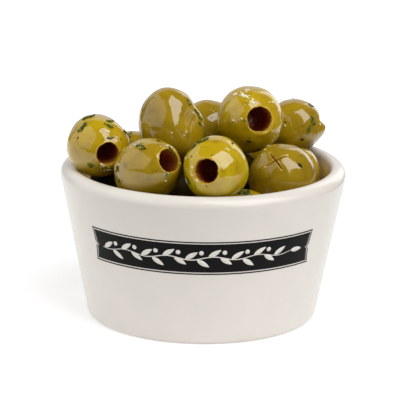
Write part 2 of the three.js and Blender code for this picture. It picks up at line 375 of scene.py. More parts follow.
stem = bmesh.ops.create_grid(sprig, x_segments=120, y_segments=1, size=1)["verts"]
for vert in stem:
    x = stem_middle + vert.co.x * stem_half_length
    taper = stem_end_share + (1 - stem_end_share) * math.sqrt(max(0.05, 1 - abs(vert.co.x)))
    vert.co = Vector((x, stem_height(x) + vert.co.y * stem_half_width * taper, 0))
leaf_count = int(2 * stem_half_length / leaf_pitch)
for i in range(leaf_count):
    root_x = stem_middle - stem_half_length + leaf_pitch * (i + first_leaf)
    side = 1 if i % 2 == 0 else -1
    leaf(sprig, root_x, stem_height(root_x), side * leaf_lean)
    if i % 2 == 1:
        fruit = bmesh.ops.create_circle(
            sprig, cap_ends=True, cap_tris=True, segments=20, radius=fruit_radius,
        )["verts"]
        fruit_x = root_x + leaf_pitch * fruit_forward
        fruit_y = stem_height(fruit_x) + fruit_rise
        bmesh.ops.translate(sprig, vec=(fruit_x, fruit_y, 0), verts=fruit)
stem_end = stem_middle + stem_half_length
leaf(sprig, stem_end - end_leaf_overlap, stem_height(stem_end), 0.0)

# Bare glaze in the print: the same pale glaze as the wall, with its soft gloss.
open_glaze, tree, shader = surface("open_glaze", Roughness=0.3, IOR=1.5)
place = add(tree, "TexCoord", out="Object")
drift = add(tree, "TexNoise", {"Vector": place, "Scale": 1 / (9 * MM), "Detail": 3.0})
tone = add(tree, "Mix", {0: drift, 6: linear("#D1CCC4"), 7: linear("#D9D3CB")}, data_type="RGBA")
tree.links.new(tone, shader.inputs["Base Color"])
piece(wrapped(sprig, sprig_lift), "printed_sprig", [open_glaze])

# ---- Olives -------------------------------------------------------------------------------------
# Large pitted green olives, wet with oil. A punch drives the stone out: it leaves a round hole
# with a torn edge at one end and a small cross of slits at the other. Each is turned from its own
# half outline, made uneven, and pressed flat where it meets the bowl or a neighbour.
hole_radius = 3.6
hole_depth = 13.0
hollow_bulge = 0.5
lip_round = 0.45
end_crowding = 0.09
edge_steps = 6
hollow_steps = 12
slit_length = 7.7
slit_turns = (math.radians(-43), math.radians(54))
slit_half_width = 0.19
slit_depth = 1.3
burr_height = 0.06
slit_zone = slit_length * 0.6
lump_width = 7.5
lump_height = 0.55
fine_lump_width = 3.1
fine_lump_height = 0.11
hollow_lump_share = 0.25
rag_height = 0.4
rag_at_mouth = 0.2
rag_full_depth = 3
tear_height = 0.35
fine_tear_height = 0.18
tear_inwards = 0.6
slack = 0.01
edge_flesh = 0.12
inner_flesh = 0.115
slit_flesh = 0.9
darkest_depth = 9
press_gap = 0.03
neighbour_distance = 26
bowl_gap = 0.08
bowl_reach = 6
over_the_rim = 2

# Places and sizes are in millimetres. The hole faces a heading, from +X towards +Y, and a rise.
# egg widens the hole end, or narrows it below 0. ripe runs from grey-green 0 to golden 1. bore
# widens the hole, and closed leaves out slits that have closed up again. A dent pushes the skin
# out, or in below 0: its heading, rise, depth and half angle.
olives = [
    dict(name="left", at=(-32.6, -8.5, 55.6), girth=19.4, length=21.5, heading=-71, rise=-2,
         egg=-0.03, ripe=0.7,
         dents=[(22, 55, -0.8, 26), (157, 55, 0.4, 24), (-58, 34, -0.45, 9), (-46, 44, -0.5, 9)]),
    dict(name="front_left", at=(-16.4, -26.4, 52.7), girth=19.4, length=24.0, heading=-51, rise=27,
         egg=-0.10, ripe=0.42, bore=1.08),
    dict(name="front", at=(3.8, -32.3, 54.8), girth=19.5, length=22.5, heading=-107, rise=10,
         egg=0.0, ripe=0.88),
    dict(name="cross_cut", at=(24.3, -15.9, 48.1), girth=20.8, length=22.5, heading=74, rise=-42,
         egg=0.0, ripe=0.22, dents=[(-70, -28, -1.0, 22)]),
    dict(name="right", at=(28.5, 5.8, 43.4), girth=17.5, length=21, heading=104, rise=-82,
         egg=0.0, ripe=0.5, closed=True, dents=[(180, 75, -2.4, 35)]),
    dict(name="right_top", at=(29.4, 20, 56.1), girth=17.6, length=18.6, heading=15, rise=20,
         egg=-0.02, ripe=0.35,
         dents=[(0, -9, 0.9, 19), (-12, 15, -0.8, 12), (60, 78, -0.5, 30), (20, 45, -0.5, 24),
                (-108, 35, -0.8, 28)]),
    dict(name="upright", at=(-10, -5, 61.9), girth=20.8, length=25, heading=47, rise=-80,
         egg=0.06, ripe=0.36, closed=True,
         dents=[(16, 45, -1.25, 27), (90, 78, -0.6, 24), (-48, 26, -1.7, 30), (-62, -24, 1.0, 24)]),
    dict(name="top", at=(14.5, -2.5, 63.2), girth=20.6, length=22, heading=-74, rise=13,
         egg=0.0, ripe=0.7, bore=1.08),
    dict(name="middle", at=(1.5, 17, 54.4), girth=20, length=24, heading=5, rise=0,
         egg=0.04, ripe=0.35),
    dict(name="back_left", at=(-21.6, 17, 43.7), girth=19.4, length=22, heading=150, rise=30,
         egg=0.03, ripe=0.4),
    dict(name="back", at=(-5, 28.5, 40.6), girth=19, length=21, heading=20, rise=20,
         egg=-0.04, ripe=0.65),
    # back_right's low ripeness is partly its own greener colour and partly painted shade, for the part
    # of it that shows in a gap of the heap.
    dict(name="back_right", at=(17.5, 25.5, 43.5), girth=18.8, length=20.5, heading=60, rise=60,
         egg=0.0, ripe=0.05),
    dict(name="under_front", at=(12.3, -25.9, 37.7), girth=17.6, length=20, heading=0, rise=0,
         egg=0.0, ripe=0.5),
]
lower_olives = [
    dict(name="under_front_left", at=(-19.6, -20.7, 34.8), girth=17.6, length=20, heading=-45, rise=0),
    dict(name="under_left", at=(-27.4, -1.5, 39.3), girth=18, length=20, heading=90, rise=0),
    dict(name="inner_left", at=(-9.9, -5, 40.6), girth=18.8, length=21, heading=80, rise=0),
    dict(name="inner_right", at=(8.4, -3.8, 44.8), girth=18.6, length=20, heading=40, rise=0),
    dict(name="inner_back", at=(2, 13, 35), girth=19, length=21, heading=10, rise=0),
]
for entry in lower_olives:
    entry.update(egg=0.03, ripe=0.45)


def facing(heading_deg, rise_deg):
    """The direction of a heading and a rise."""
    heading = math.radians(heading_deg)
    rise = math.radians(rise_deg)
    level = math.cos(rise)
    return Vector((level * math.cos(heading), level * math.sin(heading), math.sin(rise)))


def settle(entry, index):
    """Works out an olive's turn, its centre and the seed of its lumps."""
    turn = Matrix.Rotation(math.radians(entry["heading"]), 3, "Z")
    tip = Matrix.Rotation(math.radians(90 - entry["rise"]), 3, "Y")
    entry["turn"] = turn @ tip
    entry["centre"] = Vector(entry["at"])
    entry["seed"] = Vector((17.3 * index, 5.1 * index, 11.7))


for index, entry in enumerate(olives + lower_olives):
    settle(entry, index)


def olive_outline(girth, length, bore, rings):
    """Half outline: the skin, denser towards both ends, over the hole's edge and down the hollow."""
    mouth = math.pi - math.asin(2 * (bore + lip_round) / girth)
    points = []
    for i in range(rings + 1):
        t = i / rings
        angle = mouth * (t - end_crowding * math.sin(2 * math.pi * t))
        points.append((girth / 2 * math.sin(angle), -length / 2 * math.cos(angle)))
    points[0] = (0.0, -length / 2)
    edge_r, edge_z = points[-1]
    corner = (bore, edge_z + lip_round * 0.45)
    for i in range(1, edge_steps + 1):
        t = i / edge_steps
        r = (1 - t) ** 2 * edge_r + 2 * t * (1 - t) * corner[0] + t * t * bore
        z = (1 - t) ** 2 * edge_z + 2 * t * (1 - t) * corner[1] + t * t * (edge_z - lip_round)
        points.append((r, z))
    for i in range(1, hollow_steps + 1):
        t = i / hollow_steps
        r = (bore + hollow_bulge * math.sin(math.pi * t)) * math.sqrt(max(0.0, 1 - t ** 4))
        points.append((r, edge_z - lip_round - (hole_depth - lip_round) * t))
    points[-1] = (0.0, edge_z - hole_depth)
    return points, edge_z


def within(entry, point):
    """How far out a point lies in an olive: 1 is on its skin."""
    local = entry["turn"].transposed() @ (point - entry["centre"])
    half = entry["girth"] / 2
    half_length = entry["length"] / 2
    return math.sqrt((local.x / half) ** 2 + (local.y / half) ** 2 + (local.z / half_length) ** 2)


def press(bm, entry):
    """Flattens an olive where it meets a neighbour or the bowl."""
    near = []
    for other in olives + lower_olives:
        if other is not entry and (other["centre"] - entry["centre"]).length < neighbour_distance:
            near.append(other)
    for vert in bm.verts:
        for other in near:
            out = within(other, vert.co)
            if out < 1.0:
                sunk = (1 - out) * other["girth"] / 2
                vert.co += (entry["centre"] - vert.co).normalized() * (sunk / 2 + press_gap)
        at_wall = math.hypot(vert.co.x, vert.co.y) > base_radius - floor_round
        if at_wall and vert.co.z < rim_height + over_the_rim:
            on_glaze, normal, _, _ = bowl_tree.find_nearest(vert.co)
            away = vert.co - on_glaze
            if away.dot(normal) < bowl_gap and away.length < bowl_reach:
                vert.co = on_glaze + normal * bowl_gap


def olive_shape(entry, segments, rings):
    """One olive in its place: turned, lumpy, torn, slit, dented and pressed."""
    bore_radius = hole_radius * entry.get("bore", 1.0)
    profile, edge_z = olive_outline(entry["girth"], entry["length"], bore_radius, rings)
    bm = turned(profile, segments)
    flesh = bm.verts.layers.float.new("flesh")
    ripe = bm.verts.layers.float.new("ripe")
    upward = Vector((0, 0, 1))
    seed = entry["seed"]
    spot = {}
    for vert in bm.verts:
        co = vert.co.copy()
        radius = math.hypot(co.x, co.y)
        in_bore = radius < bore_radius + hollow_bulge + slack and co.z > edge_z - hole_depth - slack
        on_edge = radius < bore_radius + lip_round and co.z > edge_z - lip_round - slack
        lump = noise.noise(co / lump_width + seed) * lump_height
        lump += noise.noise(co / fine_lump_width - seed) * fine_lump_height
        shift = vert.normal * (lump * (hollow_lump_share if in_bore else 1.0))
        vert[ripe] = entry["ripe"]
        if in_bore:
            # Further into the hole the flesh darkens: partly its own colour, partly painted shade.
            depth = max(0.0, edge_z - co.z)
            vert[flesh] = min(1.0, edge_flesh + depth / darkest_depth)
            out = Vector((co.x, co.y, 0)).normalized() if radius > slack else vert.normal
            ragged = noise.noise(Vector((co.x * 1.1, co.y * 1.1, co.z * 0.5)) + seed) * rag_height
            shift += out * ragged * min(1.0, rag_at_mouth + depth / rag_full_depth)
        if on_edge:
            inward = max(0.0, min(1.0, (bore_radius + lip_round - radius) / lip_round))
            vert[flesh] = max(edge_flesh * inward, vert[flesh])
            angle = math.atan2(co.y, co.x)
            round_hole = Vector((math.cos(angle), math.sin(angle), 0))
            tear = noise.noise(round_hole * 1.9 + seed) * tear_height
            tear += noise.noise(round_hole * 6 - seed) * fine_tear_height
            shift += (upward - round_hole * tear_inwards) * tear * inward
        if co.z < 0 and radius < slit_zone and "closed" not in entry:
            for slit_turn in slit_turns:
                along = co.x * math.cos(slit_turn) + co.y * math.sin(slit_turn)
                aside = -co.x * math.sin(slit_turn) + co.y * math.cos(slit_turn)
                beside = (abs(aside) - 2 * slit_half_width) / slit_half_width
                reach = max(0.0, 1 - (2 * along / slit_length) ** 4)
                cut = math.exp(-((aside / slit_half_width) ** 2)) * reach
                burr = math.exp(-(beside ** 2)) * reach
                shift += upward * (cut * slit_depth - burr * burr_height)
                vert[flesh] = max(vert[flesh], cut * slit_flesh)
        spot[vert] = co + shift
    for vert, co in spot.items():
        widen = 1 + entry["egg"] * co.z / (entry["length"] / 2)
        local = entry["turn"] @ Vector((co.x * widen, co.y * widen, co.z))
        push = 0.0
        for heading, rise, depth, spread in entry.get("dents", ()):
            off = math.degrees(local.angle(facing(heading, rise)))
            push += depth * math.exp(-((off / spread) ** 2))
        vert.co = entry["centre"] + local + local.normalized() * push
    press(bm, entry)
    for face in bm.faces:
        face.material_index = int(min(vert[flesh] for vert in face.verts) > inner_flesh)
    # What lands on the skin later asks which way its faces point now.
    bm.normal_update()
    return bm


# Olive skin in oil: yellow-green skin that drifts over some 6 mm between greener and riper
# patches, with pale pores about 1 mm apart and faint brown bruises. The cut edge of the hole and
# of the slits is bright yellow. Oil lies over it all as a clear, wet coat.
olive_skin, tree, shader = surface(
    "oiled_olive", Roughness=0.42, IOR=1.12, Subsurface_Weight=0.18, Subsurface_Scale=1.0 * MM,
    Subsurface_Radius=(2.6, 1.3, 0.25), Coat_Weight=1.0, Coat_Roughness=0.035, Coat_IOR=1.65,
)
place = add(tree, "TexCoord", out="Object")
ripe = add(tree, "Attribute", out="Fac", attribute_name="ripe")
flesh = add(tree, "Attribute", out="Fac", attribute_name="flesh")
patches = add(tree, "TexNoise", {"Vector": place, "Scale": 1 / (6 * MM), "Detail": 4.0})
riper = add(tree, "Math", {0: patches, 1: 0.9, 2: -0.45}, operation="MULTIPLY_ADD")
ripeness = add(tree, "Math", {0: ripe, 1: riper}, operation="ADD", use_clamp=True)
skin = add(tree, "ValToRGB", {"Fac": ripeness}, stops=[
    (0.0, linear("#7E640A")), (0.35, linear("#94780A")), (0.7, linear("#AA8B07")),
    (1.0, linear("#B89E06")),
])
pores = add(tree, "TexVoronoi", {"Vector": place, "Scale": 1 / (1.1 * MM)})
pore = add(tree, "MapRange", {
    "Value": pores, "From Min": 0.10, "From Max": 0.22, "To Min": 0.5, "To Max": 0.0,
})
pored = add(tree, "Mix", {0: pore, 6: skin, 7: linear("#9A8312")}, data_type="RGBA")
stain = add(tree, "TexNoise", {"Vector": place, "Scale": 1 / (3.4 * MM), "Detail": 5.0})
bruise = add(tree, "MapRange", {
    "Value": stain, "From Min": 0.58, "From Max": 0.74, "To Min": 0.0, "To Max": 0.45,
})
bruised = add(tree, "Mix", {0: bruise, 6: pored, 7: linear("#5D460B")}, data_type="RGBA")
cut = add(tree, "ValToRGB", {"Fac": flesh}, stops=[
    (0.0, linear("#B09A18")), (0.07, linear("#C4A828")), (0.12, linear("#A07A14")),
])
is_cut = add(tree, "MapRange", {"Value": flesh, "From Min": 0.0, "From Max": 0.06})
coloured = add(tree, "Mix", {0: is_cut, 6: bruised, 7: cut}, data_type="RGBA")
grain = add(tree, "TexNoise", {"Vector": place, "Scale": 1 / (0.8 * MM), "Detail": 3.0})
relief = add(tree, "Bump", {"Height": grain, "Strength": 0.35, "Distance": 0.12 * MM})
film = add(tree, "TexNoise", {"Vector": place, "Scale": 1 / (1.4 * MM), "Detail": 3.0})
wet = add(tree, "Bump", {"Height": film, "Strength": 0.3, "Distance": 0.15 * MM})
tree.links.new(coloured, shader.inputs["Base Color"])
tree.links.new(relief, shader.inputs["Normal"])
tree.links.new(wet, shader.inputs["Coat Normal"])

# Flesh inside the pit hole: torn by the punch and soaked in oil. It is golden brown at the mouth and
# darkens to a deep red-brown some 8 mm in, partly its own brown and partly painted shade of the hole,
# with fibres about 1 mm apart and little gloss.
pit_flesh, tree, shader = surface(
    "torn_olive_flesh", Roughness=0.55, IOR=1.3, Subsurface_Weight=0.15, Subsurface_Scale=1.0 * MM,
    Subsurface_Radius=(1.8, 1.1, 0.3), Coat_Weight=0.25, Coat_Roughness=0.12, Coat_IOR=1.45,
)
place = add(tree, "TexCoord", out="Object")
flesh = add(tree, "Attribute", out="Fac", attribute_name="flesh")
fibres = add(tree, "TexNoise", {"Vector": place, "Scale": 1 / (1.0 * MM), "Detail": 4.0})
uneven = add(tree, "Math", {0: fibres, 1: 0.5, 2: -0.25}, operation="MULTIPLY_ADD")
depth = add(tree, "Math", {0: flesh, 1: uneven}, operation="ADD", use_clamp=True)
tone = add(tree, "ValToRGB", {"Fac": depth}, stops=[
    (0.1, linear("#B09020")), (0.2, linear("#A87E22")), (0.4, linear("#B4762A")),
    (0.7, linear("#B05A24")), (1.0, linear("#803C1C")),
])
torn = add(tree, "Bump", {"Height": fibres, "Strength": 0.7, "Distance": 0.3 * MM})
tree.links.new(tone, shader.inputs["Base Color"])
tree.links.new(torn, shader.inputs["Normal"])

# The slits that show are narrow, so their olive is the finest mesh.
skins = {}
for entry in olives:
    segments, rings = (128, 64) if entry["name"] == "cross_cut" else (96, 52)
    bm = olive_shape(entry, segments, rings)
    skins[entry["name"]] = BVHTree.FromBMesh(bm)
    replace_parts(piece(bm, "olive_" + entry["name"], [olive_skin, pit_flesh]), "olives")

# ---- Olives of the layers below -----------------------------------------------------------------
# More of the same olives fill the bowl. The upper ones show between the others, and two rings
# deeper in close the gaps. Under them one lumpy dark mass stands for what can't be seen.
lower = bmesh.new()


def lay(entry, segments, rings):
    """Adds an olive to the mesh of those below."""
    bm = olive_shape(entry, segments, rings)
    skins[entry["name"]] = BVHTree.FromBMesh(bm)
    laid = bpy.data.meshes.new("laid_olive")
    bm.to_mesh(laid)
    bm.free()
    lower.from_mesh(laid)
    bpy.data.meshes.remove(laid)


for entry in lower_olives:
    lay(entry, 64, 36)
# The count, radius, height and first heading of each ring.
for count, ring_radius, ring_height, first_deg in ((9, 26.0, 27.0, 10), (5, 12.5, 30.0, 25)):
    for i in range(count):
        angle = math.radians(first_deg + 360 * i / count)
        bedded = dict(
            name=f"bedded_{count}_{i}", girth=18.4, length=20.5, heading=77 * i, rise=5,
            egg=0.02, ripe=0.4,
            at=(ring_radius * math.cos(angle), ring_radius * math.sin(angle), ring_height),
        )
        settle(bedded, count + i * 3)
        lay(bedded, 40, 24)

# Shaded olive: the same skin with painted shade, duller and darker brown the lower it lies between the
# others. The painted shade starts some 15 mm over the rim and is nearly black from 1.5 mm over it
# down.
light_height = rim_height + 15.5
dark_height = rim_height + 1.5
shaded_skin = olive_skin.copy()
shaded_skin.name = "shaded_olive"
tree = shaded_skin.node_tree
shader = tree.nodes["Principled BSDF"]
shader.inputs["IOR"].default_value = 1.08
shader.inputs["Coat Weight"].default_value = 0.02
shader.inputs["Coat Roughness"].default_value = 0.3
place = add(tree, "TexCoord", out="Object")
height = add(tree, "SeparateXYZ", {"Vector": place}, out="Z")
deep = add(tree, "MapRange", {
    "Value": height, "From Min": dark_height * MM, "From Max": light_height * MM,
    "To Min": 0.97, "To Max": 0.1,
})
bright = shader.inputs["Base Color"].links[0].from_socket
# Painted shade: the skin's colour is mixed towards near-black brown by height.
with_painted_shade = add(tree, "Mix", {0: deep, 6: bright, 7: linear("#160D03")}, data_type="RGBA")
tree.links.new(with_painted_shade, shader.inputs["Base Color"])
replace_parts(piece(lower, "olives_below", [shaded_skin, pit_flesh]), "olives")

core_height = 31.0
core_gap = 0.3
core_crown = 2
core_lump_depth = 4
core_lump_height = 2.2
core_lump_width = 6.0
core_outline = [point for point in bowl_inside(core_gap) if point[1] < core_height]
core_top = (0.0, core_height + core_crown)
core_outline += [*straight(core_outline[-1], core_top, 14), core_top]
core = turned(core_outline, 72)
for vert in core.verts:
    if vert.co.z > core_height - core_lump_depth:
        vert.co.z += core_lump_height * noise.noise(vert.co / core_lump_width)
# Shaded mass of olives: the same skin, far darker because little light gets down to it, and wet.
deep_olive, tree, shader = surface(
    "shaded_olive_mass", Roughness=0.5, IOR=1.45, Coat_Weight=0.6, Coat_Roughness=0.1,
)
place = add(tree, "TexCoord", out="Object")
patches = add(tree, "TexNoise", {"Vector": place, "Scale": 1 / (5 * MM), "Detail": 4.0})
tone = add(tree, "Mix", {0: patches, 6: linear("#2A1F04"), 7: linear("#4A3C08")}, data_type="RGBA")
tree.links.new(tone, shader.inputs["Base Color"])
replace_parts(piece(core, "heap_core", [deep_olive]), "olives")

# ---- Chopped herb -------------------------------------------------------------------------------
# Flakes and thin strips of chopped green herb stick to the oil. Each is a small sheet, ragged at
# its edge, that lies on the skin of its olive and lifts a little at one end.
herb_thickness = 0.2
herb_lift = 0.15
herb_rag = 0.5
herb_bend = 0.12
herb_curl = 0.4
herb_ripple = 0.12
strewn_behind = 0.55
strewn_off_hole = 7.5
strewn_clear = 1.08
outside_reach = 20
# A flake's heading and rise from its olive's centre, its turn on the skin, its length and width.
herbs = [
    ("left", [
        (-135, 45, 58, 4.1, 1.3), (-163, 70, 72, 4.4, 1.5), (-61, 50, -51, 3.2, 1.0),
        (-44, 60, -43, 2.6, 0.9), (-66, 26, -11, 2.2, 0.6), (-104, -24, -5, 2.0, 1.3),
        (-8, 28, -65, 2.4, 0.8), (120, 25, 40, 2.4, 0.9),
    ]),
    ("front_left", [
        (-165, 4, -89, 2.1, 0.9), (-134, 60, 44, 1.8, 1.0), (-116, 62, -22, 2.6, 0.9),
        (-111, 52, 1, 1.7, 0.9), (-38, 43, -63, 2.4, 0.5), (-61, 6, -39, 1.2, 0.7),
        (-35, 70, -72, 1.4, 0.6), (-157, -15, -81, 1.1, 0.6),
    ]),
    ("front", [
        (-164, 47, 84, 3.6, 1.3), (-150, 64, 64, 3.8, 1.3), (-144, -13, -48, 3.0, 1.2),
        (-23, 58, -100, 1.0, 0.5),
    ]),
    ("top", [(-100, 11, -41, 0.9, 0.6), (60, 20, 40, 2.4, 0.9)]),
    ("upright", [
        (-38, 51, -80, 2.2, 0.6), (-22, 31, -69, 2.2, 0.6), (-20, 19, -60, 2.2, 0.7),
        (-24, 8, -56, 1.5, 0.5), (120, 15, 30, 3.0, 1.0),
    ]),
    ("middle", [(-60, 44, -86, 1.8, 0.7), (95, 25, -25, 3.2, 1.0)]),
    ("right_top", [
        (-24, 54, -90, 2.2, 0.7), (-50, 21, -78, 2.9, 1.2), (-60, 6, -112, 2.2, 1.0),
        (100, 5, 70, 2.6, 0.9),
    ]),
    ("back_left", [(-131, 73, 99, 2.6, 0.8), (110, 30, 20, 2.8, 1.0)]),
    ("back_right", [(75, 45, -40, 2.2, 0.9)]),
    ("under_front", [
        (-127, 70, -13, 3.0, 1.0), (-69, 75, 30, 3.0, 1.1), (-62, 62, 16, 2.0, 0.9),
        (-95, 60, 80, 1.6, 0.8), (-105, 78, 69, 2.2, 1.3), (-40, 80, -53, 1.8, 1.2),
        (-57, 72, -28, 1.5, 1.0),
    ]),
]


def listed(groups):
    """Each entry of the groups, with the name of the olive it lies on."""
    return [(name, *entry) for name, entries in groups for entry in entries]


def any_way(draw):
    """A vector drawn so that it points any way alike."""
    return Vector([draw.gauss(0, 1) for _ in range(3)])


def on_skin(name, ray):
    """Where a ray from an olive's centre leaves its skin, and the way the skin faces there."""
    centre = next(entry["centre"] for entry in olives + lower_olives if entry["name"] == name)
    spot, normal, _, _ = skins[name].ray_cast(centre + ray * outside_reach, -ray)
    return spot, normal


def along_skin(outward, turn_deg):
    """Two directions in the skin: along a turn from level, and square to it."""
    level = Vector((0, 0, 1)).cross(outward).normalized()
    upward = outward.cross(level)
    turn = math.radians(turn_deg)
    along = level * math.cos(turn) + upward * math.sin(turn)
    return along, outward.cross(along)


def flake(bm, name, ray, turn_deg, length, width, seed):
    """A ragged little sheet of herb, wrapped onto the skin."""
    spot, outward = on_skin(name, ray)
    along, aside = along_skin(outward, turn_deg)
    sheet = bmesh.ops.create_grid(bm, x_segments=8, y_segments=3, size=1)["verts"]
    faces = list(dict.fromkeys(face for vert in sheet for face in vert.link_faces))
    top = bmesh.ops.extrude_face_region(bm, geom=faces)["geom"]
    upper = [item for item in top if isinstance(item, bmesh.types.BMVert)]
    for vert in [*sheet, *upper]:
        x, y = vert.co.x, vert.co.y
        ragged = 1 + herb_rag * noise.noise(Vector((x * 3, y * 2, seed)))
        half = width * 0.5 * (1 - abs(x) ** 3 * 0.75) * ragged
        bend = herb_bend * length * noise.noise(Vector((x * 1.2, seed, 0)))
        flat = spot + along * (x * length / 2) + aside * (y * half + bend)
        ground, normal, _, _ = skins[name].find_nearest(flat)
        curl = herb_curl * max(0.0, x) ** 2
        curl += herb_ripple * noise.noise(Vector((x * 2, y * 2, seed + 4)))
        lift = herb_lift + max(0.0, curl) + (herb_thickness if vert in upper else 0.0)
        vert.co = ground + normal * lift


herb_mesh = bmesh.new()
for index, (name, heading, rise, turn_deg, length, width) in enumerate(listed(herbs)):
    flake(herb_mesh, name, facing(heading, rise), turn_deg, length, width, index * 1.7)
# A few more are strewn over the back of the heap, clear of the holes and the other olives.
draw = random.Random(5)
for entry in olives:
    for _ in range(7):
        ray = any_way(draw).normalized()
        length = draw.uniform(1.0, 3.0)
        width = length * draw.uniform(0.25, 0.45)
        turn_deg = draw.uniform(0, 180)
        spot, _ = on_skin(entry["name"], ray)
        if ray.y < strewn_behind or spot is None or (spot - entry["centre"]).length < strewn_off_hole:
            continue
        others = [other for other in olives + lower_olives if other is not entry]
        if any(within(other, spot) < strewn_clear for other in others):
            continue
        flake(herb_mesh, entry["name"], ray, turn_deg, length, width, draw.uniform(0, 50))
bmesh.ops.recalc_face_normals(herb_mesh, faces=herb_mesh.faces)

# Chopped leaf: dark green, lighter and greyer in patches of about 0.9 mm, where the pale
# underside shows, creased, and dulled by the oil it lies in.
herb_leaf, tree, shader = surface(
    "oiled_chopped_herb", Roughness=0.6, IOR=1.2, Coat_Weight=0.25, Coat_Roughness=0.12, Coat_IOR=1.47,
)
place = add(tree, "TexCoord", out="Object")
mottle = add(tree, "TexNoise", {"Vector": place, "Scale": 1 / (0.9 * MM), "Detail": 3.0})
tone = add(tree, "ValToRGB", {"Fac": mottle}, stops=[
    (0.34, linear("#1E2606")), (0.5, linear("#465010")), (0.62, linear("#74782A")),
    (0.78, linear("#A8A264")),
])
crease = add(tree, "Bump", {"Height": mottle, "Strength": 0.5, "Distance": 0.15 * MM})
tree.links.new(tone, shader.inputs["Base Color"])
tree.links.new(crease, shader.inputs["Normal"])
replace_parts(piece(herb_mesh, "herb_flakes", [herb_leaf]), "olives")

# ---- Specks -------------------------------------------------------------------------------------
# Crumbs of dried herb and spice, from a quarter of a millimetre to one and a half across, lie in
# the oil. They are flattened and a little longer than wide.
crumb_length = 1.3
crumb_width = 0.8
crumb_height = 0.5
crumb_roughness = 0.35
# A speck's heading and rise from its olive's centre, and its size.
specks = [
    ("left", [(-135, 24, 0.75), (-41, 21, 0.6)]),
    ("front_left", [
        (-57, 6, 0.7), (-102, 53, 0.9), (-147, -13, 0.5), (-22, 34, 0.8), (-33, 23, 0.7),
    ]),
    ("front", [(-22, 58, 0.8), (-99, 37, 0.5), (-140, 29, 0.6), (-105, -15, 0.5)]),
    ("top", [(-100, 11, 0.7)]),
    ("right_top", [(-115, 19, 0.7)]),
    ("cross_cut", [(-112, 12, 0.5), (-54, 33, 1.6)]),
    ("top", [(-93, -26, 1.4)]),
    ("right_top", [(-76, -17, 1.1)]),
]
placed = [(name, facing(heading, rise), size) for name, heading, rise, size in listed(specks)]
draw = random.Random(23)
for entry in olives:
    for _ in range(8):
        ray = any_way(draw).normalized()
        placed.append((entry["name"], ray, draw.uniform(0.25, 0.5)))
speck_mesh = bmesh.new()
for name, ray, size in placed:
    spot, outward = on_skin(name, ray)
    crumb = bmesh.ops.create_icosphere(speck_mesh, subdivisions=1, radius=size / 2)["verts"]
    twist = Matrix.Rotation(draw.uniform(0, math.pi), 3, "Z")
    lie = outward.to_track_quat("Z", "Y").to_matrix()
    for vert in crumb:
        x, y, z = vert.co
        rough = 1 + crumb_roughness * noise.noise(vert.co * 4 + spot)
        shaped = Vector((x * crumb_length * rough, y * crumb_width * rough, z * crumb_height))
        vert.co = spot + lie @ twist @ shaped

# Dried spice: nearly black, matt, with a brown cast.
spice, tree, shader = surface("dried_spice", Roughness=0.6, IOR=1.2)
place = add(tree, "TexCoord", out="Object")
mottle = add(tree, "TexNoise", {"Vector": place, "Scale": 1 / (0.5 * MM)})
tone = add(tree, "Mix", {0: mottle, 6: linear("#1A1206"), 7: linear("#3A2E0E")}, data_type="RGBA")
tree.links.new(tone, shader.inputs["Base Color"])
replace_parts(piece(speck_mesh, "spice_specks", [spice]), "olives")

# ---- Oil ----------------------------------------------------------------------------------------
# Olive oil, beaten with a little air, runs off the olives. It leaves small beads and bubbles in
# patches, most of them near the pit holes, and short streaks in the creases between olives. Each bead
# and each streak is a low dome on the skin; its pale, milky colour is partly painted glint.
bead_height = 0.36
loose_bead_height = 0.3
streak_height = 0.24
beaded_behind = 0.3
# A patch's heading and rise from its olive's centre, its spread in degrees and its bead count.
patches = [
    ("top", [(-122, 62, 12, 26), (-90, 46, 12, 14), (-110, 14, 12, 9), (-30, 30, 20, 5)]),
    ("left", [(-68, 34, 8, 6), (-75, -25, 9, 8)]),
    ("front_left", [(-45, 50, 13, 9), (-150, 58, 12, 5), (-62, 2, 10, 4)]),
    ("front", [(-60, 46, 8, 4), (-130, 0, 16, 3)]),
    ("cross_cut", [(-150, 62, 14, 5)]),
    ("middle", [(-75, 55, 9, 3)]),
    ("under_front", [(-90, 65, 14, 6)]),
]
# A streak's heading and rise, its turn on the skin, its length and width.
streaks = [
    ("top", [
        (-153, 57, 37, 2.0, 1.3), (-109, 56, -9, 2.6, 1.5), (-120, 76, 20, 2.0, 0.9),
        (-86, 42, -31, 2.0, 0.9), (-57, 4, -54, 2.4, 0.4), (-38, -45, 30, 2.5, 0.6),
        (-26, 0, -67, 3.8, 0.4), (-24, -28, -68, 3.2, 0.5),
    ]),
    ("front", [
        (-160, -18, -75, 1.8, 0.8), (-166, 22, -85, 1.2, 0.6), (-130, 0, -14, 1.0, 0.5),
        (-121, -7, -37, 1.2, 0.6),
    ]),
    ("cross_cut", [(-175, 66, 60, 2.2, 0.7)]),
    ("left", [
        (-81, -21, -45, 2.0, 1.0), (-30, 50, -50, 2.6, 0.5), (-8, 34, -65, 2.0, 0.5),
        (-66, -32, -3, 2.3, 0.8), (-69, 39, -16, 1.2, 1.1), (-51, 26, -29, 1.1, 0.7),
    ]),
    ("front_left", [
        (-38, 51, -30, 2.0, 0.6), (-62, 5, -25, 1.6, 0.6), (-29, 17, -89, 1.1, 0.5),
        (-153, 59, 73, 1.2, 0.5),
    ]),
    ("upright", [
        (-89, -1, 0, 0.6, 0.5), (-68, -6, -29, 0.9, 0.5), (-16, 4, -55, 2.0, 0.6),
        (-31, 30, -65, 1.2, 0.6),
    ]),
    ("front", [(-62, 49, -46, 1.2, 0.5)]),
    ("under_front", [(-103, 73, -54, 1.3, 0.6), (-30, 76, -60, 1.6, 0.6)]),
    ("right_top", [(-115, 12, -58, 1.3, 0.3)]),
]


def dome(bm, name, ray, turn_deg, length, width, height):
    """A low dome of oil on the skin of an olive."""
    spot, outward = on_skin(name, ray)
    along, aside = along_skin(outward, turn_deg)
    for vert in bmesh.ops.create_icosphere(bm, subdivisions=2, radius=1)["verts"]:
        x, y, z = vert.co
        flat = spot + along * (x * length / 2) + aside * (y * width / 2)
        ground, normal, _, _ = skins[name].find_nearest(flat)
        vert.co = ground + normal * (z * height)


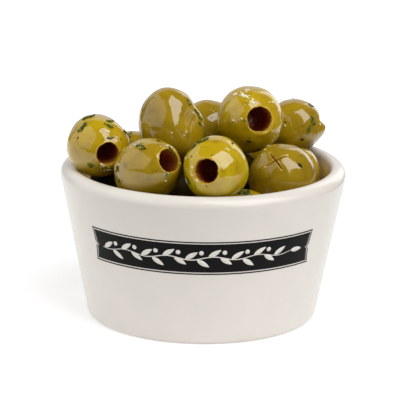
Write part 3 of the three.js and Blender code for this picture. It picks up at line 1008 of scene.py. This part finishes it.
bead_mesh = bmesh.new()
draw = random.Random(31)
for name, heading, rise, spread_deg, count in listed(patches):
    for _ in range(count):
        aside = any_way(draw) * math.tan(math.radians(spread_deg / 2))
        size = 0.3 + 0.6 * draw.random() ** 2.5
        ray = (facing(heading, rise) + aside).normalized()
        dome(bead_mesh, name, ray, 0, size, size, size * bead_height)
for name, heading, rise, turn_deg, length, width in listed(streaks):
    dome(bead_mesh, name, facing(heading, rise), turn_deg, length, width, streak_height)
for entry in olives:
    for _ in range(6):
        ray = any_way(draw).normalized()
        size = draw.uniform(0.3, 0.8)
        if ray.y > beaded_behind:
            dome(bead_mesh, entry["name"], ray, 0, size, size, size * loose_bead_height)

# Aerated olive oil: pale yellow and a third clear, very smooth. Its milky near-white is partly tiny
# bubbles and partly painted glint, so the beads and streaks show as bright spots of light.
oil, tree, shader = surface("olive_oil_with_painted_glint", Roughness=0.03, IOR=1.5, Transmission_Weight=0.35)
place = add(tree, "TexCoord", out="Object")
milk_and_glint = add(tree, "TexNoise", {"Vector": place, "Scale": 1 / (0.7 * MM)})
# The near-white stop is partly painted glint.
tone = add(tree, "ValToRGB", {"Fac": milk_and_glint}, stops=[
    (0.38, linear("#E8D26A")), (0.52, linear("#FFFADC")),
])
skin_of_oil = add(tree, "Bump", {"Height": milk_and_glint, "Strength": 0.15, "Distance": 0.05 * MM})
tree.links.new(tone, shader.inputs["Base Color"])
tree.links.new(skin_of_oil, shader.inputs["Normal"])
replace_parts(piece(bead_mesh, "oil_beads", [oil]), "olives")

# ---- Studio -------------------------------------------------------------------------------------
# A white table that reaches far to the left and only a little to the front, in a dim room with a
# white backdrop. The key is a large soft box high at the front right. Dimmer boxes stand on the
# left, behind and at the back right, and the ceiling gives a bounce that nothing glossy mirrors.
table_left = -1.0
table_right = 0.17
table_front = -0.15
table_back = 0.6
table_corners = (
    (table_left, table_front), (table_right, table_front),
    (table_right, table_back), (table_left, table_back),
)
table_mesh = bmesh.new()
table_mesh.faces.new([table_mesh.verts.new((x, y, 0)) for x, y in table_corners])
table_data = bpy.data.meshes.new("studio_table")
table_mesh.to_mesh(table_data)
table_mesh.free()
table = bpy.data.objects.new("studio_table", table_data)
scene.collection.objects.link(table)
table_paint, tree, shader = surface(
    "white_table", Base_Color=linear("#CBCBCB"), Roughness=0.9, Specular_IOR_Level=0.0,
    Emission_Color=linear("#FFFFFF"), Emission_Strength=0.45,
)
table_data.materials.append(table_paint)

room_mirrored = (0.05, 0.05, 0.05, 1.0)
room_light = (0.13, 0.13, 0.13, 1.0)
backdrop = (1.0, 1.0, 1.0, 1.0)
scene.world = bpy.data.worlds.new("studio")
scene.world.use_nodes = True
tree = scene.world.node_tree
lighting = add(tree, "LightPath", out="Is Diffuse Ray")
room = add(tree, "Mix", {0: lighting, 6: room_mirrored, 7: room_light}, data_type="RGBA")
looking = add(tree, "LightPath", out="Is Camera Ray")
seen = add(tree, "Mix", {0: looking, 6: room, 7: backdrop}, data_type="RGBA")
tree.links.new(seen, tree.nodes["Background"].inputs["Color"])

heap_centre = Vector((0.0, -0.01, 0.055))


def towards_heap(centre):
    """The turn of a lamp at a place that faces the heap."""
    away = (Vector(centre) - heap_centre).normalized()
    return away.to_track_quat("Z", "Y").to_matrix().to_4x4()


def soft_box(name, centre, turn, width, height, brightness):
    """A rectangular soft box, in metres, whose face has one brightness all over."""
    light = bpy.data.lights.new(name, "AREA")
    light.shape = "RECTANGLE"
    light.size = width
    light.size_y = height
    light.energy = brightness * math.pi * width * height
    lamp = bpy.data.objects.new(name, light)
    lamp.matrix_world = Matrix.Translation(centre) @ turn
    lamp.visible_camera = False
    scene.collection.objects.link(lamp)
    return lamp


# The key stands askew: its long side leans left as it rises.
key_centre = heap_centre + 1.6 * Vector((0.174, -0.195, 0.51))
long_side = Vector((-0.44, 0.04, 0.90)).normalized()
short_side = Vector((-0.643, -0.712, -0.281))
short_side = (short_side - long_side * short_side.dot(long_side)).normalized()
key_turn = Matrix((long_side, short_side, long_side.cross(short_side))).transposed().to_4x4()
soft_box("key_box", key_centre, key_turn, 1.25, 0.73, 4.0)
lamps = {}
for name, centre, width, height, brightness in (
    ("left_box", (-0.86, -0.16, 0.50), 1.9, 1.15, 0.95),
    ("back_box", (0.0, 1.1, 0.5), 2.0, 1.0, 0.6),
    ("right_box", (0.50, 0.80, 0.35), 0.45, 0.7, 1.3),
    ("ceiling_bounce", (-0.6, 0.05, 1.1), 0.9, 0.9, 1.3),
):
    lamps[name] = soft_box(name, centre, towards_heap(centre), width, height, brightness)
lamps["ceiling_bounce"].visible_glossy = False

# The camera stands in front and looks down on the bowl. Its frame is measured in pixels.
frame_width = 416
sensor_width = 36.0
focal_pixels = 2409.7
centre_offset_pixels = 5.267
camera_down_deg = 15.380
camera_roll = 0.014
camera_data = bpy.data.cameras.new("camera")
camera_data.sensor_width = sensor_width
camera_data.lens = sensor_width * focal_pixels / frame_width
camera_data.shift_x = centre_offset_pixels / frame_width
camera = bpy.data.objects.new("camera", camera_data)
camera_place = Matrix.Translation((0.0, -0.7370, 0.2363))
pitch = Matrix.Rotation(math.radians(90 - camera_down_deg), 4, "X")
camera.matrix_world = camera_place @ pitch @ Matrix.Rotation(camera_roll, 4, "Z")
scene.collection.objects.link(camera)
scene.camera = camera
scene.view_settings.view_transform = "Standard"
